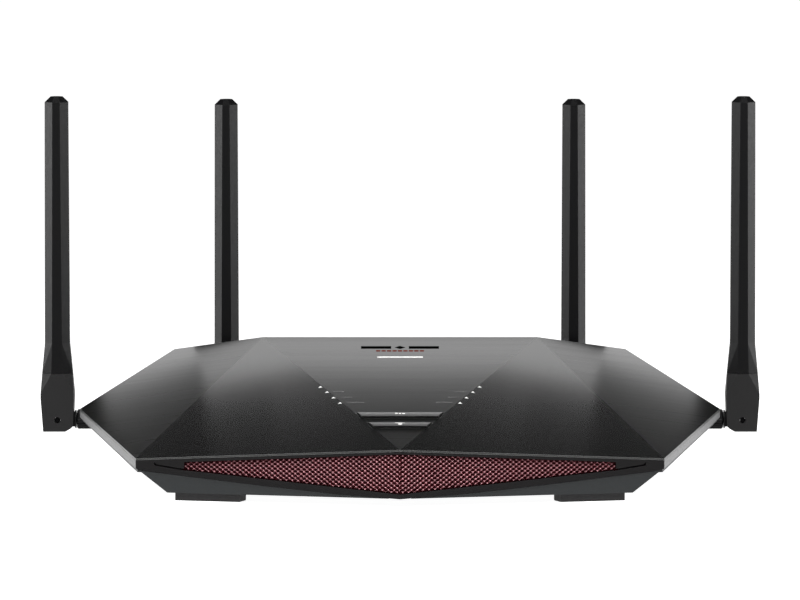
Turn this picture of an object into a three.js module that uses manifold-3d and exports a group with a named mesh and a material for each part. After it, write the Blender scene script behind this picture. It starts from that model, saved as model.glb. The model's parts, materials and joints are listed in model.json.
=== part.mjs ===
// Desktop wireless router: a faceted, winged housing with a V-shaped front grille and four
// antennas, each on a swivel and a folding hinge. Millimetres, +Z up, the front towards -Y.
// The origin is the centre of the footprint box, on the surface the router stands on.
import * as THREE from 'three';
import { ConvexGeometry } from 'three/addons/geometries/ConvexGeometry.js';
import { mergeVertices } from 'three/addons/utils/BufferGeometryUtils.js';
import Module from 'manifold-3d';

const wasm = await Module();
wasm.setup();

// ---------------------------------------------------------------- driving dimensions

const GAP = 0.3;               // clearance between neighbouring pieces
const FINE_GAP = 0.15;         // clearance round the light pips and at the finest seams

// Housing. The faceted top has five corners on each side; x is the right-hand one.
const HALF_DEPTH = 101.2;
const APEX = new THREE.Vector3(0, -HALF_DEPTH, 25.97);
const FRONT_CORNER = new THREE.Vector3(119.93, -73.26, 18.98);
const WING_TIP = new THREE.Vector3(149.75, 20.16, 31.85);
const REAR_CORNER = new THREE.Vector3(108.27, HALF_DEPTH, 52.21);
const CREST_END = new THREE.Vector3(65.91, HALF_DEPTH, 58.0);
const COVER_THICKNESS = 2.2;
const COVER_LIP = 0.8;         // thickness of the cover where it laps over the fascia
const WALL = 2.4;
const FLOOR_BOTTOM = 3.64;     // height of the underside above the table
const FLOOR_TOP = FLOOR_BOTTOM + 2.2;

// Wing trims: strips along the front and rear edges of each wing.
const TRIM_THICKNESS = 1.2;
const TRIM_FOOT_FRONT = 14.41; // lower edge at the front corner, the wing tip and the rear corner
const TRIM_FOOT_TIP = 27.89;
const TRIM_FOOT_REAR = 48.2;
const FLANGE_INSET = TRIM_THICKNESS + GAP;
const FLANGE_THICKNESS = 2;
const TRAY_INSET = 0.8;        // the lower housing's rim stands this far inside the trims

// Underside outline, right-hand half, at FLOOR_BOTTOM.
const TOE_X = 105.6;
const TOE_SETBACK = 1.2;       // the lower housing stands this far behind the fascia
const WAIST = new THREE.Vector2(122, 22);
const HEEL = new THREE.Vector2(96, HALF_DEPTH);

// Front fascia and grille, in front view: x and height.
const FASCIA_THICKNESS = 2.4;
const SEAM = [[0, FLOOR_BOTTOM], [28.5, 5.33], [59.7, 8.0], [115.9, 13.5], [122, 14.6]];
const OPENING = { centreTop: 24.02, centreFoot: 5.71, endX: 97.85, endTop: 17.96, endFoot: 14.18 };
const GROOVE = [[96.8, 13.9], [111.4, 16.0], [111.8, 17.4], [111.0, 17.5], [110.6, 16.75], [96.8, 14.75]];
const GROOVE_DEPTH = 1.6;
const GRILLE_RECESS = 0.6;
const GRILLE_THICKNESS = 0.8;
const GRILLE_MARGIN = 0.9;     // how far the sheet reaches past the opening

// Rear panel and the sockets behind it.
const PANEL_FACE = HALF_DEPTH - 1.2;
const PANEL_THICKNESS = 2.4;
const SOCKET_FACE = PANEL_FACE + 0.5;
const VENT = { count: 27, pitch: 5.4, width: 2.2, foot: 35.5, head: 45 };
const BOARD_TOP = 15.6;
const BOARD_THICKNESS = 1.6;
const SOCKET_FOOT = BOARD_TOP + GAP;
const NETWORK_SOCKET = {
  pitch: 15.5, height: 13.6, depth: 21, holeWidth: 11.8, holeHeight: 8.2, holeDepth: 15,
  head: 1.6, latchHalf: 3, latchDrop: 1.4,
};
const LAN_X = 12;
const LAN_COUNT = 4;
const WAN_X = -32;
const USB = { x: 55, width: 13.2, height: 5.8, depth: 14, wall: 0.6, tongue: 1.8, tongueInset: 1.2 };
const POWER_INLET = { x: -50, width: 9.4, height: 11, depth: 14, holeRadius: 3.1, pinRadius: 1 };
const POWER_BUTTON = { x: -65, z: 22, radius: 4.5, proud: 1 };
const RESET_BUTTON = { x: 68, z: 20, radius: 1, recess: 0.5 };

// Lights and buttons in the top cover: x and y on the central facet and just outside its folds.
const PIPS = [[37.1, 9.2], [33.9, -0.1], [30.8, -10.0], [27.75, -19.4]];
const PIP = { width: 1.8, length: 2.3 };
const STATUS_BAR = { halfWidth: 10.8, front: 62.4, rear: 64.4 };
const WIFI_BUTTON = { rear: -37.86, front: -46.14, rearHalf: 19.55, frontHalf: 17.5 };
const WPS_BUTTON = { rear: -55.25, front: -63.0, rearHalf: 14.3, frontHalf: 12.1 };
const BUTTON_GAP = 0.6;
// The crown of a button: share of the way from its rear edge to its front, and height.
const BUTTON_CROWN = [[0, 0.35], [1 / 3, 0.69], [2 / 3, 0.86], [1, 0.86]];
const BUTTON_TRAVEL = 0.7;
const FLANGE_REACH = 1.2;      // how far lights and buttons spread under the cover
const FLANGE_DEPTH = 1.2;
const STEM = { halfWidth: 2, inset: 3, reach: 1.3 };   // post under a button, towards its switch
const LIGHT_CARRIER = { thickness: 2, halfWidth: 2.4, bridgeHalfWidth: 2, overhang: 3 };

// Fasteners, feet and inner supports. Positions are x and y of the right-hand ones.
// The front foot follows the fascia, a setback behind it; its inner end is cut off at a slant.
const FRONT_FOOT = { inner: 70, nose: 72.7, outer: 102, setback: 3.1, slant: 7, inLength: 13, outLength: 11 };
const REAR_FOOT = { inner: 64, outer: 90, front: 80, rear: 92 };
const SCREW_POSTS = [[84, -56], [93, 68]];
const POST_RADIUS = 3.5;
const SCREW = { headRadius: 2.8, shankRadius: 1.35, headFoot: 4.2, headTop: 6, tip: 17 };
const SCREW_BOSS = { radius: 4.4, top: 9 };
const STANDOFFS = [[60, -36], [66, 66]];
const STANDOFF_RADIUS = 3;
const FLOOR_VENT = { rows: 3, rowPitch: 30, first: -24, perSide: 6, pitch: 8, width: 2.4, length: 22 };
const FOOT_POCKET = 1;

// Main board: its outline's right-hand half, and what is soldered on it.
const BOARD_OUTLINE = [[0, -64], [60, -64], [82, -42], [82, 78], [73, 84], [73, 95], [0, 95]];
const SOLDER_DEPTH = 0.5;      // parts on the board reach this far into it
const TRANSFORMER = { y: 70, width: 12, length: 8, height: 4 };
const RADIO = { places: [-46, -16, 16, 46], y: -44, width: 14, length: 12, height: 1.6 };
const MEMORY = { x: 0, y: -20, width: 13, length: 10, height: 1.4 };
const CONVERTER = { x: 62, y: -10, width: 10, length: 10, height: 3 };
const CAPACITOR = { places: [[-66, 52], [-74, 52], [-70, 40]], radius: 3, height: 7 };

// Antennas, in their own frame: the fold pin lies on Y through the origin, the housing is
// towards +X, and the antenna stands up +Z.
const SEAT_TO_PIN = 17.8;
const SIDE_SEAT = new THREE.Vector3(143.1, 36, 25.4);
const REAR_SEAT = new THREE.Vector3(83.65, HALF_DEPTH, 19.45);
const BOSS_RADIUS = 5.2;
const BOSS_DEPTH = 15.2;
const SLEEVE = { foot: 21.8, flareTop: 36.2, shoulder: 149.3, tip: 151.9 };
const SLEEVE_SECTION = [11.7, 11.7, 4.7, 4.7];   // width, depth, front flat and side flat
const SHOULDER_SECTION = [10.98, 10.98, 3.5, 3.5];
const TIP_SECTION = [5.6, 5.6, 2, 2];
const SLEEVE_BORE = { halfX: 3.4, halfY: 2, head: 4 };
const RADIATOR = { halfX: 2.9, halfY: 0.4, foot: 3, head: 8 };
const BASE = { width: 15.7, depth: 12, shoulder: 12.3, waist: 10.2, foot: -5.45 };
const BASE_HEEL = -6.7;        // the base's underside runs from its heel to its toe, then up a chin
const BASE_TOE = 3.7;
const BASE_CHIN = [[6.2, -4.0], [7.3, -2.9]];
const SEAM_SECTION = [14.4, BASE.depth, 5.55, 5.2];
const TONGUE = { thickness: 4.6, radius: 3.9, halfHeight: 3.4, root: 8.15 };
const PIN_RADIUS = 1.15;
const SPIGOT_RADIUS = 1.9;
const JACK_RADIUS = 3.1;
const NUT = { radius: 4.65, start: 9.05, end: 17.3 };

// ---------------------------------------------------------------- solids

function solid(geometry) {
  const bare = geometry.clone();
  bare.deleteAttribute('normal');
  bare.deleteAttribute('uv');
  const merged = mergeVertices(bare, 1e-4);
  return new wasm.Manifold(new wasm.Mesh({
    numProp: 3,
    vertProperties: new Float32Array(merged.attributes.position.array),
    triVerts: new Uint32Array(merged.index.array),
  }));
}

function geometryOf(body) {
  const mesh = body.getMesh();
  const geometry = new THREE.BufferGeometry();
  geometry.setAttribute('position', new THREE.Float32BufferAttribute(mesh.vertProperties, 3));
  geometry.setIndex(new THREE.Uint32BufferAttribute(mesh.triVerts, 1));
  return geometry;
}

function join(...bodies) {
  return bodies.reduce((whole, body) => whole.add(body));
}

function cut(body, ...tools) {
  return tools.reduce((rest, tool) => rest.subtract(tool), body);
}

function hull(points) {
  return solid(new ConvexGeometry(points));
}

function block(x0, x1, y0, y1, z0, z1) {
  const geometry = new THREE.BoxGeometry(x1 - x0, y1 - y0, z1 - z0);
  geometry.translate((x0 + x1) / 2, (y0 + y1) / 2, (z0 + z1) / 2);
  return solid(geometry);
}

function mirrored(body) {
  const geometry = geometryOf(body);
  geometry.scale(-1, 1, 1);
  geometry.index.array.reverse();
  return solid(geometry);
}

function bothSides(body) {
  return join(body, mirrored(body));
}

function extruded(outline, depth) {
  const shape = new THREE.Shape(outline.map(([x, y]) => new THREE.Vector2(x, y)));
  return new THREE.ExtrudeGeometry(shape, { depth, bevelEnabled: false });
}

// An outline in plan, between two heights.
function upright(outline, z0, z1) {
  const geometry = extruded(outline, z1 - z0);
  geometry.translate(0, 0, z0);
  return solid(geometry);
}

// An outline in front view (x, z), between two depths.
function frontwise(outline, y0, y1) {
  const geometry = extruded(outline, y1 - y0);
  geometry.rotateX(Math.PI / 2);
  geometry.translate(0, y1, 0);
  return solid(geometry);
}

// A round bar along X, Y or Z, from one coordinate to another.
function bar(axis, radius, from, to, centre, sides = 16) {
  const geometry = new THREE.CylinderGeometry(radius, radius, to - from, sides);
  if (axis === 'x') geometry.rotateZ(-Math.PI / 2);
  if (axis === 'z') geometry.rotateX(Math.PI / 2);
  const middle = centre.clone();
  middle[axis] = (from + to) / 2;
  geometry.translate(middle.x, middle.y, middle.z);
  return solid(geometry);
}

// ---------------------------------------------------------------- the faceted top

function facet(a, b, c) {
  const plane = new THREE.Plane().setFromCoplanarPoints(a, b, c);
  return plane.normal.z < 0 ? plane.negate() : plane;
}

function flipped(point) {
  return new THREE.Vector3(-point.x, point.y, point.z);
}

const CENTRE_FACET = facet(APEX, CREST_END, flipped(CREST_END));
const FACETS = [
  CENTRE_FACET,
  facet(APEX, FRONT_CORNER, CREST_END),
  facet(FRONT_CORNER, REAR_CORNER, CREST_END),
];

// Height of the top surface; the facets meet in ridges, so the lowest one is the surface.
function topHeight(x, y) {
  return Math.min(...FACETS.map(({ normal, constant }) =>
    -(normal.x * Math.abs(x) + normal.y * y + constant) / normal.z));
}

// The edges of the plan outline on the right-hand side, as lines with inward normals.
function edge(from, to) {
  const along = new THREE.Vector2(to.x - from.x, to.y - from.y).normalize();
  return { from: new THREE.Vector2(from.x, from.y), along, inward: new THREE.Vector2(-along.y, along.x) };
}

const EDGES = {
  centre: edge(new THREE.Vector2(0, HALF_DEPTH), APEX),
  front: edge(APEX, FRONT_CORNER),
  wing: edge(FRONT_CORNER, WING_TIP),
  flank: edge(WING_TIP, REAR_CORNER),
  rear: edge(REAR_CORNER, CREST_END),
};

// Where two outline edges meet once each is moved inwards.
function meeting(nameA, insetA, nameB, insetB) {
  const a = EDGES[nameA];
  const b = EDGES[nameB];
  const start = a.from.clone().addScaledVector(a.inward, insetA);
  const other = b.from.clone().addScaledVector(b.inward, insetB);
  const travel = other.sub(start).cross(b.along) / a.along.clone().cross(b.along);
  return start.addScaledVector(a.along, travel);
}

// Right-hand plan corners, from the apex round to the rear, for the given insets.
function planCorners({ front = 0, wing = 0, flank = wing, rear = 0 }) {
  return [
    meeting('centre', 0, 'front', front),
    meeting('front', front, 'wing', wing),
    meeting('wing', wing, 'flank', flank),
    meeting('flank', flank, 'rear', rear),
  ];
}

function lifted(point, z) {
  return new THREE.Vector3(point.x, point.y, z);
}

function withMirror(points) {
  return [...points, ...points.map(flipped)];
}

// The layer of the top between two distances under the surface, inside the given insets.
function surfaceLayer(insets, upper, lower) {
  const [apex, front, tip, rear] = planCorners(insets);
  const crest = new THREE.Vector2(CREST_END.x, rear.y);
  const left = (p) => new THREE.Vector2(-p.x, p.y);
  const ring = [apex, front, tip, rear, crest, left(crest), left(rear), left(tip), left(front)];
  const faces = [[0, 4, 5], [0, 1, 4], [1, 3, 4], [1, 2, 3], [0, 5, 8], [8, 5, 6], [8, 6, 7]];
  const count = ring.length;
  const position = [upper, lower].flatMap((depth) =>
    ring.flatMap((p) => [p.x, p.y, topHeight(p.x, p.y) - depth]));
  const index = faces.flatMap(([a, b, c]) => [a, b, c, count + c, count + b, count + a]);
  for (let i = 0; i < count; i += 1) {
    const next = (i + 1) % count;
    index.push(i, count + i, next, next, count + i, count + next);
  }
  const geometry = new THREE.BufferGeometry();
  geometry.setAttribute('position', new THREE.Float32BufferAttribute(position, 3));
  geometry.setIndex(index);
  return solid(geometry);
}

// An outline standing square to the central facet, from above its surface to below it.
function facetPrism(outline, above, below) {
  const points = outline.flatMap(([x, y]) => {
    const foot = new THREE.Vector3(x, y, topHeight(0, y));
    return [above, -below].map((h) => foot.clone().addScaledVector(CENTRE_FACET.normal, h));
  });
  return hull(points);
}

// ---------------------------------------------------------------- V-shaped pieces of the front

const VEE_SLOPE = (FRONT_CORNER.y - APEX.y) / FRONT_CORNER.x;
const VEE_COS = Math.cos(Math.atan(VEE_SLOPE));

function veeFace(x) {
  return APEX.y + Math.abs(x) * VEE_SLOPE;
}

// A right-hand front-view outline, as a plate that follows the V, between two depths behind it.
function veePlate(outline, from, to) {
  const plate = geometryOf(frontwise(outline, APEX.y + from / VEE_COS, APEX.y + to / VEE_COS));
  const shear = new THREE.Matrix4().makeShear(VEE_SLOPE, 0, 0, 0, 0, 0);
  plate.applyMatrix4(shear);
  return bothSides(solid(plate));
}

function openingOutline(margin) {
  const { centreTop, centreFoot, endX, endTop, endFoot } = OPENING;
  return [
    [0, centreFoot - margin],
    [endX + margin, endFoot - margin],
    [endX + margin, endTop + margin],
    [0, centreTop + margin],
  ];
}

// ---------------------------------------------------------------- housing

function screwPoints() {
  return SCREW_POSTS.flatMap(([x, y]) => [new THREE.Vector3(x, y, 0), new THREE.Vector3(-x, y, 0)]);
}

function trapezium({ rear, front, rearHalf, frontHalf }, grow) {
  return [
    [-rearHalf - grow, rear + grow],
    [rearHalf + grow, rear + grow],
    [frontHalf + grow, front - grow],
    [-frontHalf - grow, front - grow],
  ];
}

function statusOutline(grow) {
  const { halfWidth, front, rear } = STATUS_BAR;
  return trapezium({ rear, front, rearHalf: halfWidth, frontHalf: halfWidth }, grow);
}

function pipOutline([x, y], grow) {
  const half = PIP.width / 2 + grow;
  return [
    [x - half, y - PIP.length / 2 - grow],
    [x + half, y - PIP.length / 2 - grow],
    [x, y + PIP.length / 2 + 2 * grow],
  ];
}

function topCover() {
  const skin = surfaceLayer({}, 0, COVER_LIP);
  const coreInsets = { front: FASCIA_THICKNESS + GAP, wing: TRIM_THICKNESS + GAP };
  const core = surfaceLayer(coreInsets, COVER_LIP / 2, COVER_THICKNESS);
  const posts = screwPoints().map((p) => cut(
    bar('z', POST_RADIUS, SCREW_BOSS.top + GAP, topHeight(p.x, p.y) - COVER_LIP, p, 12),
    bar('z', SCREW.shankRadius + GAP, 0, SCREW.tip + 1.5, p, 12),
  ));
  const pips = PIPS.flatMap(([x, y]) => [[x, y], [-x, y]]);
  return cut(
    join(skin, core, ...posts),
    facetPrism(trapezium(WIFI_BUTTON, BUTTON_GAP), 3, 6),
    facetPrism(trapezium(WPS_BUTTON, BUTTON_GAP), 3, 6),
    facetPrism(statusOutline(FINE_GAP), 3, 6),
    ...pips.map((pip) => upright(pipOutline(pip, FINE_GAP), 0, 80)),
  );
}

// The trim strip's foot at the three outline corners, less a distance.
function trimFeet(less = 0) {
  return [TRIM_FOOT_FRONT, TRIM_FOOT_TIP, TRIM_FOOT_REAR].map((z) => z - less);
}

// An upright band along the wing's two edges, between two insets. feet and depth say where
// its lower edge is and how far its upper edge lies under the top surface.
function wingBand({ outer, inner, frontInset, feet, depth }) {
  const sides = [outer, inner].map((inset) =>
    planCorners({ front: frontInset ?? inset, wing: inset }).slice(1));
  const segment = (i) => hull(sides.flatMap((corners) => [i, i + 1].flatMap((k) => {
    const corner = corners[k];
    return [lifted(corner, feet[k]), lifted(corner, topHeight(corner.x, corner.y) - depth)];
  })));
  return join(segment(0), segment(1));
}

function wingTrim() {
  const depth = COVER_LIP + FINE_GAP;
  const strip = wingBand({ outer: 0, inner: TRIM_THICKNESS, feet: trimFeet(), depth });
  const mitre = hull([0, 3].flatMap((inset) => {
    const corner = meeting('front', inset, 'wing', inset);
    const ahead = meeting('front', inset - 3, 'wing', inset);
    const step = corner.clone().addScaledVector(EDGES.wing.along, GAP / 2);
    return [0, 40].flatMap((z) => [lifted(step, z), lifted(ahead, z)]);
  }));
  return cut(strip, mitre);
}

// Outer and inner shapes of the lower housing: the floor, spreading to the foot of the trims.
function trayForm({ inset, floor, rimInset, rearReach }) {
  const toe = new THREE.Vector2(TOE_X - inset, veeFace(TOE_X) + TOE_SETBACK + inset);
  const nose = new THREE.Vector2(0, APEX.y + TOE_SETBACK + inset);
  const waist = new THREE.Vector2(WAIST.x - inset, WAIST.y);
  const heel = new THREE.Vector2(HEEL.x - inset, HEEL.y + rearReach);
  const rims = planCorners({
    front: TRAY_INSET + rimInset,
    wing: TRAY_INSET + rimInset,
    rear: -rearReach,
  }).slice(1);
  const feet = trimFeet(GAP);
  const low = [nose, toe, waist, heel].map((p) => lifted(p, floor));
  const high = rims.map((p, i) => lifted(p, feet[i]));
  const open = inset > 0 ? rims.map((p, i) => lifted(p, feet[i] + 30)) : [];
  return hull(withMirror([...low, ...high, ...open]));
}

function footOutlines() {
  const { inner, nose, outer, setback, slant, inLength, outLength } = FRONT_FOOT;
  const [noseY, outerY] = [nose, outer].map((x) => veeFace(x) + setback);
  return {
    front: [
      [inner, noseY + inLength], [inner, noseY + slant], [nose, noseY],
      [outer, outerY], [outer, outerY + outLength],
    ],
    rear: [
      [REAR_FOOT.inner, REAR_FOOT.front], [REAR_FOOT.outer, REAR_FOOT.front],
      [REAR_FOOT.outer, REAR_FOOT.rear], [REAR_FOOT.inner, REAR_FOOT.rear],
    ],
  };
}

function grown(outline, amount) {
  const xs = outline.map(([x]) => x);
  const ys = outline.map(([, y]) => y);
  const cx = (Math.min(...xs) + Math.max(...xs)) / 2;
  const cy = (Math.min(...ys) + Math.max(...ys)) / 2;
  const halfX = (Math.max(...xs) - Math.min(...xs)) / 2;
  const halfY = (Math.max(...ys) - Math.min(...ys)) / 2;
  const scaleX = 1 + amount / halfX;
  const scaleY = 1 + amount / halfY;
  return outline.map(([x, y]) => [cx + (x - cx) * scaleX, cy + (y - cy) * scaleY]);
}

function bottomTray() {
  const outer = trayForm({ inset: 0, floor: FLOOR_BOTTOM, rimInset: 0, rearReach: 0 });
  const inner = trayForm({ inset: WALL, floor: FLOOR_TOP, rimInset: WALL, rearReach: 5 });
  const flange = wingBand({
    outer: FLANGE_INSET,
    inner: FLANGE_INSET + FLANGE_THICKNESS,
    frontInset: FASCIA_THICKNESS + 2 * GAP,
    feet: trimFeet(2),
    depth: COVER_THICKNESS + GAP,
  });
  const seat = new THREE.Vector3(0, SIDE_SEAT.y, SIDE_SEAT.z);
  const antennaBoss = bar('x', BOSS_RADIUS, SIDE_SEAT.x - BOSS_DEPTH, SIDE_SEAT.x, seat, 20);
  const antennaBore = bar('x', JACK_RADIUS + GAP, SIDE_SEAT.x - 30, SIDE_SEAT.x + 5, seat);
  const standoffs = STANDOFFS.flatMap(([x, y]) => [x, -x].map((side) =>
    bar('z', STANDOFF_RADIUS, FLOOR_BOTTOM + 1, BOARD_TOP - BOARD_THICKNESS - GAP,
      new THREE.Vector3(side, y, 0), 10)));
  const screwBosses = screwPoints().map((p) =>
    bar('z', SCREW_BOSS.radius, FLOOR_BOTTOM + 1, SCREW_BOSS.top, p, 12));
  const screwHoles = screwPoints().map((p) => join(
    bar('z', SCREW.shankRadius + GAP, 0, SCREW_BOSS.top + 1, p, 12),
    bar('z', SCREW.headRadius + GAP, 0, SCREW.headTop + GAP, p, 12),
  ));
  const aboveSeam = [...SEAM.map(([x, z]) => [x, z - GAP]), [SEAM.at(-1)[0], 40], [0, 40]];
  const feet = footOutlines();
  const pockets = [feet.front, feet.rear].map((outline) =>
    bothSides(upright(grown(outline, GAP), 0, FLOOR_BOTTOM + FOOT_POCKET)));
  const { rows, rowPitch, first, perSide, pitch, width, length } = FLOOR_VENT;
  const floorVents = [];
  for (let row = 0; row < rows; row += 1) {
    for (let column = -perSide; column <= perSide; column += 1) {
      const x = column * pitch;
      const y = first + row * rowPitch;
      floorVents.push(block(x - width / 2, x + width / 2, y, y + length, 0, FLOOR_TOP + 1));
    }
  }
  return cut(
    join(cut(outer, inner), bothSides(join(flange, antennaBoss)), ...standoffs, ...screwBosses),
    bothSides(antennaBore),
    veePlate(aboveSeam, -3, FASCIA_THICKNESS + GAP),
    ...screwHoles,
    ...pockets,
    ...floorVents,
  );
}

function frontFascia() {
  const lap = COVER_LIP + GAP;
  const end = (inset) => meeting('front', inset, 'wing', inset).addScaledVector(EDGES.front.along, -GAP / 2);
  const plan = [
    meeting('centre', 0, 'front', 0),
    meeting('centre', 0, 'front', FASCIA_THICKNESS),
    end(0),
    end(FASCIA_THICKNESS),
  ];
  const half = hull(plan.flatMap((p) => [lifted(p, 0), lifted(p, topHeight(p.x, p.y) - lap)]));
  const belowSeam = [...SEAM, [SEAM.at(-1)[0], -1], [0, -1]];
  return cut(
    bothSides(half),
    veePlate(belowSeam, -3, FASCIA_THICKNESS + 3),
    veePlate(openingOutline(0), -3, FASCIA_THICKNESS + 3),
    veePlate(openingOutline(GRILLE_MARGIN + GAP), GRILLE_RECESS, FASCIA_THICKNESS + 3),
    veePlate(GROOVE, -3, GROOVE_DEPTH),
  );
}

function frontGrille() {
  const face = GRILLE_RECESS + GAP;
  return veePlate(openingOutline(GRILLE_MARGIN), face, face + GRILLE_THICKNESS);
}

// ---------------------------------------------------------------- rear panel and sockets

// The clear space between the floor, the walls and the cover.
function interior() {
  const inset = FLANGE_INSET + FLANGE_THICKNESS + GAP;
  const floorInset = WALL + GAP;
  const floor = [
    new THREE.Vector2(TOE_X - floorInset, veeFace(TOE_X) + 6),
    new THREE.Vector2(WAIST.x - floorInset, WAIST.y),
    new THREE.Vector2(HEEL.x - floorInset, HEEL.y),
  ];
  const rims = planCorners({ front: 8, wing: inset }).slice(1);
  const tops = [...rims, new THREE.Vector2(CREST_END.x, HALF_DEPTH)];
  const feet = trimFeet(GAP);
  return hull(withMirror([
    ...floor.map((p) => lifted(p, FLOOR_TOP + GAP)),
    ...rims.map((p, i) => lifted(p, feet[i])),
    ...tops.map((p) => lifted(p, topHeight(p.x, p.y) - COVER_THICKNESS - GAP)),
  ]));
}

function panelHole(x, width, foot, head) {
  return block(x - width / 2 - GAP, x + width / 2 + GAP, 80, HALF_DEPTH + 2, foot - GAP, head + GAP);
}

function rearPanel() {
  const sheet = interior().intersect(
    block(-150, 150, PANEL_FACE - PANEL_THICKNESS, PANEL_FACE, 0, 80));
  const seats = [REAR_SEAT.x, -REAR_SEAT.x].map((x) => new THREE.Vector3(x, 0, REAR_SEAT.z));
  const bosses = seats.map((p) => bar('y', BOSS_RADIUS, HALF_DEPTH - BOSS_DEPTH, HALF_DEPTH, p, 20));
  const bores = seats.map((p) => bar('y', JACK_RADIUS + GAP, HALF_DEPTH - 30, HALF_DEPTH + 5, p));
  const socketHead = SOCKET_FOOT + NETWORK_SOCKET.height;
  const vents = Array.from({ length: VENT.count }, (_, i) => {
    const x = (i - (VENT.count - 1) / 2) * VENT.pitch;
    return block(x - VENT.width / 2, x + VENT.width / 2, 80, HALF_DEPTH + 2, VENT.foot, VENT.head);
  });
  const power = new THREE.Vector3(POWER_BUTTON.x, 0, POWER_BUTTON.z);
  const reset = new THREE.Vector3(RESET_BUTTON.x, 0, RESET_BUTTON.z);
  return cut(
    join(sheet, ...bosses),
    ...bores,
    ...vents,
    panelHole(LAN_X, NETWORK_SOCKET.pitch * LAN_COUNT, SOCKET_FOOT, socketHead),
    panelHole(WAN_X, NETWORK_SOCKET.pitch, SOCKET_FOOT, socketHead),
    panelHole(USB.x, USB.width, SOCKET_FOOT, SOCKET_FOOT + USB.height),
    panelHole(POWER_INLET.x, POWER_INLET.width, SOCKET_FOOT, SOCKET_FOOT + POWER_INLET.height),
    bar('y', POWER_BUTTON.radius + GAP, 80, HALF_DEPTH + 2, power, 20),
    bar('y', RESET_BUTTON.radius + GAP, 80, HALF_DEPTH + 2, reset, 12),
  );
}

// A row of network sockets, each with its plug cavity and the narrower latch slot under it.
function networkSockets(centreX, count) {
  const { pitch, height, depth, holeWidth, holeHeight, holeDepth } = NETWORK_SOCKET;
  const { head, latchHalf, latchDrop } = NETWORK_SOCKET;
  const half = pitch * count / 2;
  const shell = block(centreX - half, centreX + half, SOCKET_FACE - depth, SOCKET_FACE,
    SOCKET_FOOT, SOCKET_FOOT + height);
  const cavities = Array.from({ length: count }, (_, i) => {
    const x = centreX + (i - (count - 1) / 2) * pitch;
    const foot = SOCKET_FOOT + height - head - holeHeight;
    return join(
      block(x - holeWidth / 2, x + holeWidth / 2, SOCKET_FACE - holeDepth, SOCKET_FACE + 1,
        foot, foot + holeHeight),
      block(x - latchHalf, x + latchHalf, SOCKET_FACE - holeDepth + 3, SOCKET_FACE + 1,
        foot - latchDrop, foot + 1),
    );
  });
  return cut(shell, ...cavities);
}

function usbPort() {
  const { x, width, height, depth, wall, tongue, tongueInset } = USB;
  const back = SOCKET_FACE - depth;
  const middle = SOCKET_FOOT + height / 2 + wall;
  return join(
    cut(
      block(x - width / 2, x + width / 2, back, SOCKET_FACE, SOCKET_FOOT, SOCKET_FOOT + height),
      block(x - width / 2 + wall, x + width / 2 - wall, back + 2, SOCKET_FACE + 1,
        SOCKET_FOOT + wall, SOCKET_FOOT + height - wall),
    ),
    block(x - width / 2 + tongueInset, x + width / 2 - tongueInset, back + 1, SOCKET_FACE - 1,
      middle - tongue / 2, middle + tongue / 2),
  );
}

function powerInlet() {
  const { x, width, height, depth, holeRadius, pinRadius } = POWER_INLET;
  const centre = new THREE.Vector3(x, 0, SOCKET_FOOT + height / 2);
  const back = SOCKET_FACE - depth;
  return join(
    cut(
      block(x - width / 2, x + width / 2, back, SOCKET_FACE, SOCKET_FOOT, SOCKET_FOOT + height),
      bar('y', holeRadius, SOCKET_FACE - 10, SOCKET_FACE + 1, centre, 20),
    ),
    bar('y', pinRadius, SOCKET_FACE - 11, SOCKET_FACE - 1, centre, 10),
  );
}

function powerButton() {
  const { x, z, radius, proud } = POWER_BUTTON;
  const centre = new THREE.Vector3(x, 0, z);
  const inside = PANEL_FACE - PANEL_THICKNESS;
  return join(
    bar('y', radius, inside - 2, PANEL_FACE + proud, centre, 20),
    bar('y', radius + 1, inside - 2, inside - GAP, centre, 20),
    bar('y', 1.6, inside - 6, inside - 1.5, centre, 10),
  );
}

function resetButton() {
  const { x, z, radius, recess } = RESET_BUTTON;
  const centre = new THREE.Vector3(x, 0, z);
  const inside = PANEL_FACE - PANEL_THICKNESS;
  return join(
    bar('y', radius, inside - 2, PANEL_FACE - recess, centre, 12),
    bar('y', radius + 1, inside - 2, inside - GAP, centre, 12),
  );
}

// ---------------------------------------------------------------- electronics

function mainBoard() {
  const solderFoot = BOARD_TOP - SOLDER_DEPTH;
  const chip = ({ x, y, width, length, height }) =>
    block(x - width / 2, x + width / 2, y - length / 2, y + length / 2, solderFoot, BOARD_TOP + height);
  const coils = Array.from({ length: LAN_COUNT + 1 }, (_, i) =>
    chip({ ...TRANSFORMER, x: WAN_X + i * NETWORK_SOCKET.pitch }));
  const radios = RADIO.places.map((x) => chip({ ...RADIO, x }));
  const capacitors = CAPACITOR.places.map(([x, y]) =>
    bar('z', CAPACITOR.radius, solderFoot, BOARD_TOP + CAPACITOR.height, new THREE.Vector3(x, y, 0), 10));
  return join(
    bothSides(upright(BOARD_OUTLINE, BOARD_TOP - BOARD_THICKNESS, BOARD_TOP)),
    ...coils,
    ...radios,
    ...capacitors,
    chip(MEMORY),
    chip(CONVERTER),
  );
}

const SHIELD = { halfX: 32, front: 2, rear: 46, height: 4.4, wall: 0.5 };
const HEAT_SINK = {
  halfX: 46, front: -2, rear: 54, plate: 2.5, fins: 12, finPitch: 8, finHeight: 13, fin: 1.4,
};

function rfShield() {
  const { halfX, front, rear, height, wall } = SHIELD;
  const foot = BOARD_TOP + GAP;
  return cut(
    block(-halfX, halfX, front, rear, foot, foot + height),
    block(-halfX + wall, halfX - wall, front + wall, rear - wall, foot - 1, foot + height - wall),
  );
}

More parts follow.
